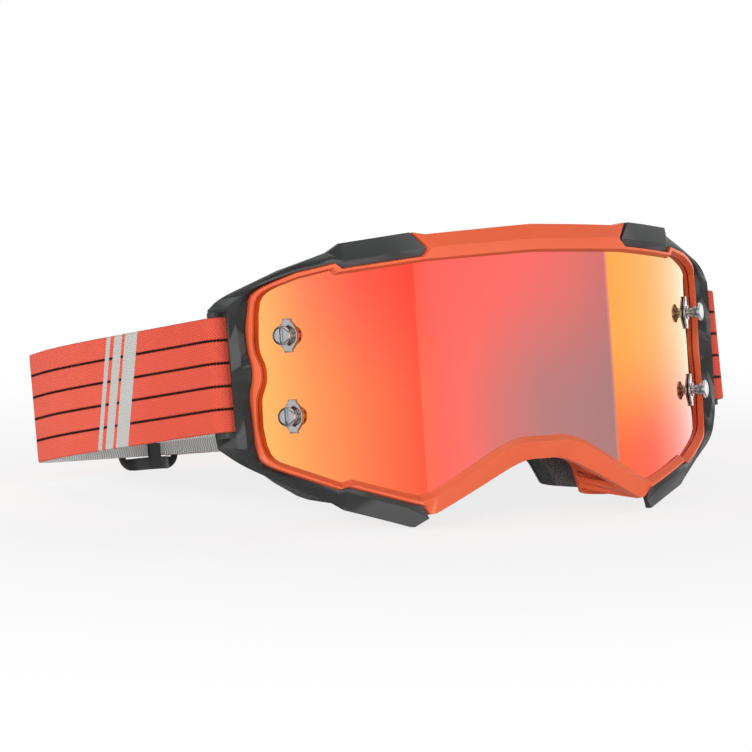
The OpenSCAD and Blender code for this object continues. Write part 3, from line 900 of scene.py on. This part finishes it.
def strap_path(shift):
    """The right strap: sewn fold, turn round the bar, side run, rear corner, one rear layer."""
    corner_x, corner_y = LOOP_CORNER
    out_x = BAR_X[1] + STRAP_GAP + STRAP_T / 2
    in_x = BAR_X[0] - STRAP_GAP - STRAP_T / 2
    turn_y = BAR_Y - STRAP_GAP - STRAP_T / 2
    run_end = (LOOP_X + SIDE_RUN_OUT, corner_y - SIDE_RUN_END)
    fold_end_y = BAR_Y + FOLD_TO
    share = (fold_end_y - turn_y) / (run_end[1] - turn_y)
    fold_end_x = out_x + (LOOP_X - out_x) * share - LAYER
    end_x = (SEWN_END + END_CLEARANCE) * math.cos(RUN_ANGLE) - SLIDER_X
    corners = [
        (fold_end_x, fold_end_y), (in_x, BAR_Y + FOLD_FROM), (in_x, turn_y), (out_x, turn_y),
        run_end, (corner_x, corner_y + shift), (0, LOOP_BACK_Y + shift),
        (end_x, rear_y(end_x) + shift),
    ]
    return rounded_path(corners, STRAP_TURNS)


def length_to_bar(path):
    """The length of a path up to the front of the bar."""
    front = min(range(len(path)), key=lambda i: path[i].y)
    return sum((b - a).length for a, b in zip(path[:front], path[1:front + 1]))


def strap(side):
    """One half of the strap. Its free end follows the slider of the other half."""
    sign = SIGN[side]
    node = "strap_" + side
    path = strap_path(sign * LAYER / 2)
    start = length_to_bar(path)
    path = [Vector((sign * p.x, p.y)) for p in path]
    piece = band(
        node + "_webbing", path, loop_place, STRAP_W, STRAP_T, WEBBING, start, face=sign
    )
    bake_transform(piece)
    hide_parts(node)


for side in SIGN:
    strap(side)


# Sewn ends on the sliders: the slope down from the end bar, the play between the two layers, the
# seams past the bar and half their length (mm). Lengths count from far off, to keep colours even:
# the coral takes its darkest painted shade all along.
END_SLOPE = 4
END_PLAY = 0.1
END_ROWS = (5.5, 8.5)
END_ROW_HALF = 18.5
END_TURNS = [0, 1.4, 1.4, 2, 2, 0]
END_STEP = 1.5
END_START = 1000


def slider_place(sign):
    x = sign * SLIDER_X
    turn = math.pi - RUN_ANGLE if sign > 0 else RUN_ANGLE
    on_run = moved(x, rear_y(x) + sign * LAYER / 2, 0)
    return loop_place @ on_run @ Matrix.Rotation(turn, 4, "Z")


def strap_end(side):
    """The end of the other strap, wrapped round the end bar of a slider and sewn to itself."""
    sign = SIGN[side]
    node = "strap_end_" + side
    slider = "slider_" + side
    place = slider_place(sign)
    bar_x = SLIDER_L / 2 - SLIDER_BAR_W / 2
    bar_top = STRAP_T / 2 + SEWN_T + 2 * SEWN_GAP + SLIDER_BAR_T
    under = STRAP_T / 2 + SEWN_GAP + SEWN_T / 2
    upper = under + SEWN_T + END_PLAY
    over_bar = bar_top + SEWN_GAP + SEWN_T / 2
    wrap_x = bar_x - SLIDER_BAR_W / 2 - SEWN_GAP - SEWN_T / 2
    past_bar = bar_x + SLIDER_BAR_W
    corners = [
        (SEWN_END, under), (wrap_x, under), (wrap_x, over_bar),
        (past_bar, over_bar), (past_bar + END_SLOPE, upper), (SEWN_END, upper),
    ]
    path = rounded_path(corners, END_TURNS, longest=END_STEP)
    piece = band(
        node + "_webbing", path, place, STRAP_W, SEWN_T, WEBBING_END, END_START, face=sign
    )
    stands_for(piece, node, slider)
    top = upper + SEWN_T / 2
    rows = [[(past_bar + x, top, z) for z in (-END_ROW_HALF, END_ROW_HALF)] for x in END_ROWS]
    sew(node + "_stitches", rows, place, slider)


for side in SIGN:
    strap_end(side)


def fold_stitches(side):
    """Two rows across the sewn fold, on its inner face."""
    path = strap_path(0)
    rows = []
    for step in FOLD_ROWS:
        here, after = path[step], path[step + 1]
        inward = Vector((-(after - here).y, (after - here).x)).normalized()
        inward *= STRAP_T / 2 * (1 if inward.x < 0 else -1)
        spot = here + inward
        rows.append([(SIGN[side] * spot.x, spot.y, z) for z in (-FOLD_ROW_HALF, FOLD_ROW_HALF)])
    sew("fold_stitches_" + side, rows, loop_place, BODY)


for side in SIGN:
    fold_stitches(side)


def grip_beads():
    """Silicone beads along the inside of the rear run."""
    inside = (LAYER + STRAP_T + BEAD_T) / 2 + BEAD_GAP
    ends = (-BEAD_REACH, 0, BEAD_REACH)
    corners = [(x, rear_y(x) - inside / math.cos(RUN_ANGLE)) for x in ends]
    path = rounded_path(corners, [0, BEAD_TURN, 0])
    merged = bmesh.new()
    for k in (-1, 0, 1):
        place = loop_place @ moved(0, 0, BEAD_STEP * k)
        bead = band("bead_%d" % k, path, place, BEAD_W, BEAD_T, SILICONE)
        merged.from_mesh(bead.data)
        bpy.data.objects.remove(bead)
    mesh = bpy.data.meshes.new("grip_beads")
    merged.to_mesh(mesh)
    merged.free()
    piece = smooth_to(piece_from(mesh, "grip_beads", SILICONE), degrees=60)
    stands_for(piece, "strap_grip")


grip_beads()


# Studio

WHITE = (1, 1, 1, 1)
FLOOR_R = 0.5
FLOOR_SIDES = 96
FLOOR_GLOW = 0.78
FLOOR_FADE = (0.12, 0.42)
PAPER = ((0.92, 0.92, 0.92, 1), (0.95, 0.95, 0.95, 1))


def floor():
    """Pale paper that keeps the shadow under the goggles and fades to white around them."""
    mesh = bpy.data.meshes.new("floor")
    bm = bmesh.new()
    bmesh.ops.create_circle(bm, cap_ends=True, segments=FLOOR_SIDES, radius=FLOOR_R)
    bm.to_mesh(mesh)
    bm.free()
    f = Finish("pale_floor")
    paper = f.mix(f.noise(scale=3, detail=2), *PAPER)
    diffuse = f.node("ShaderNodeBsdfDiffuse", {}, {"Color": paper})
    glow = f.node("ShaderNodeEmission", {}, {"Color": WHITE, "Strength": 1.0})
    path = f.node("ShaderNodeLightPath")
    seen = path["Is Camera Ray"].most(path["Is Transmission Ray"])
    reach = f.node("ShaderNodeVectorMath", {"operation": "LENGTH"}, {0: f.place})["Value"]
    faded = FLOOR_GLOW + (1 - FLOOR_GLOW) * reach.between(*FLOOR_FADE)
    mixed = f.node("ShaderNodeMixShader", {}, {
        0: seen * faded, 1: diffuse["BSDF"], 2: glow["Emission"],
    })
    f.node("ShaderNodeOutputMaterial", {}, {"Surface": mixed["Shader"]})
    mesh.materials.append(f.material)
    plane = bpy.data.objects.new("floor", mesh)
    plane.visible_glossy = False
    scene.collection.objects.link(plane)


floor()

# Ring of soft boxes that the lens mirrors: bearings from straight ahead (degrees), and the light
# of the ring with what each box adds to it
LEFT_BOX = (-96, -84)
FRONT_BOX_FROM = -20.3
RIGHT_BOX_FROM = 62.2
BEHIND = (150, 175)
RING_LIGHT = 0.2
LEFT_ADDS = 0.8
FRONT_ADDS = 0.4
RIGHT_ADDS = 0.4
BEHIND_TAKES = 1.2
# Darker band above the ring and dark floor below it, by the rise of the ray, and how dark they are
BAND_IN = (0.30, 0.42)
BAND_OUT = (0.62, 0.80)
BAND_TAKES = 0.6
BELOW_IN = (0.16, 0.26)
BELOW_OUT = (0.5, 0.8)
BELOW_KEEPS = 0.6
BELOW_TAKES = 0.7
# Soft light on the goggles from the sides and from above
SOFT_SIDES = 0.48
SOFT_ABOVE = 0.08
SOFT_RISE = (0.1, 0.8)


def studio_world():
    """White to the camera, soft light on the object, and a ring of soft boxes for its mirrors."""
    world = bpy.data.worlds.new("studio")
    world.use_nodes = True
    scene.world = world
    g = Graph(world.node_tree)
    ray = g.node("ShaderNodeSeparateXYZ", {}, {"Vector": g.node("ShaderNodeTexCoord")["Generated"]})
    bearing = ray["X"].angle_from(0 - ray["Y"]) * (180 / math.pi)
    rise = ray["Z"]
    fall = 0 - rise
    left_box = bearing.between(*LEFT_BOX)
    front_box = bearing > FRONT_BOX_FROM
    right_box = bearing > RIGHT_BOX_FROM
    behind = bearing.between(*BEHIND)
    ring = RING_LIGHT + LEFT_ADDS * left_box + FRONT_ADDS * front_box + RIGHT_ADDS * right_box
    dark_band = rise.between(*BAND_IN) - rise.between(*BAND_OUT)
    below = fall.between(*BELOW_IN) - BELOW_KEEPS * fall.between(*BELOW_OUT)
    lit_ring = ring - BEHIND_TAKES * behind
    boxes = lit_ring * (1 - BAND_TAKES * dark_band) * (1 - BELOW_TAKES * below)
    soft = SOFT_SIDES - (SOFT_SIDES - SOFT_ABOVE) * rise.between(*SOFT_RISE)
    path = g.node("ShaderNodeLightPath")
    seen = path["Is Camera Ray"]
    mirrored = path["Is Glossy Ray"].most(path["Is Transmission Ray"])
    strength = seen + (1 - seen) * (mirrored * boxes + (1 - mirrored) * soft)
    back = g.node("ShaderNodeBackground", {}, {"Color": WHITE, "Strength": strength})
    g.node("ShaderNodeOutputWorld", {}, {"Surface": back["Background"]})


studio_world()


def soft_box(name, place, aim, size, power):
    lamp = bpy.data.lights.new(name, "AREA")
    lamp.shape = "SQUARE"
    lamp.size = size
    lamp.energy = power
    box = bpy.data.objects.new(name, lamp)
    box.location = place
    box.rotation_mode = "QUATERNION"
    box.rotation_quaternion = (Vector(aim) - Vector(place)).to_track_quat("-Z", "Y")
    box.visible_glossy = False
    scene.collection.objects.link(box)


MIDDLE = (0, 0, 0.05)
soft_box("key", (-1.2, -0.95, 0.42), MIDDLE, size=0.9, power=12.5)
soft_box("fill", (0.5, -1.4, 0.38), MIDDLE, size=0.8, power=4.5)
soft_box("low", (0.1, -1.0, 0.12), (0.05, 0, 0.04), size=0.2, power=1.2)
soft_box("low_left", (-0.55, -0.95, 0.12), (-0.02, 0.03, 0.02), size=0.12, power=1.5)
soft_box("side", (-1.3, 0.25, 0.4), (-0.05, 0.05, 0.05), size=0.7, power=5.5)
soft_box("right", (1.3, -0.1, 0.4), (0.05, 0.05, 0.05), size=0.7, power=8)
soft_box("back", (0.2, 1.35, 0.45), MIDDLE, size=0.9, power=8)

# Camera that was fitted to the photograph
CAMERA_AT = (-0.643225, -1.30254, 0.219268)
CAMERA_RIGHT = (0.901803, -0.432120, -0.004826)
CAMERA_UP = (0.056959, 0.107785, 0.992542)
CAMERA_AHEAD = (0.428377, 0.895352, -0.121813)
CAMERA_LENS = 191.489
CAMERA_SENSOR = 36


def camera():
    data = bpy.data.cameras.new("camera")
    data.sensor_width = CAMERA_SENSOR
    data.lens = CAMERA_LENS
    eye = bpy.data.objects.new("camera", data)
    axes = Matrix((CAMERA_RIGHT, CAMERA_UP, -Vector(CAMERA_AHEAD)))
    eye.matrix_world = Matrix.Translation(CAMERA_AT) @ axes.transposed().to_4x4()
    scene.collection.objects.link(eye)
    scene.camera = eye


camera()
scene.view_settings.view_transform = "Standard"
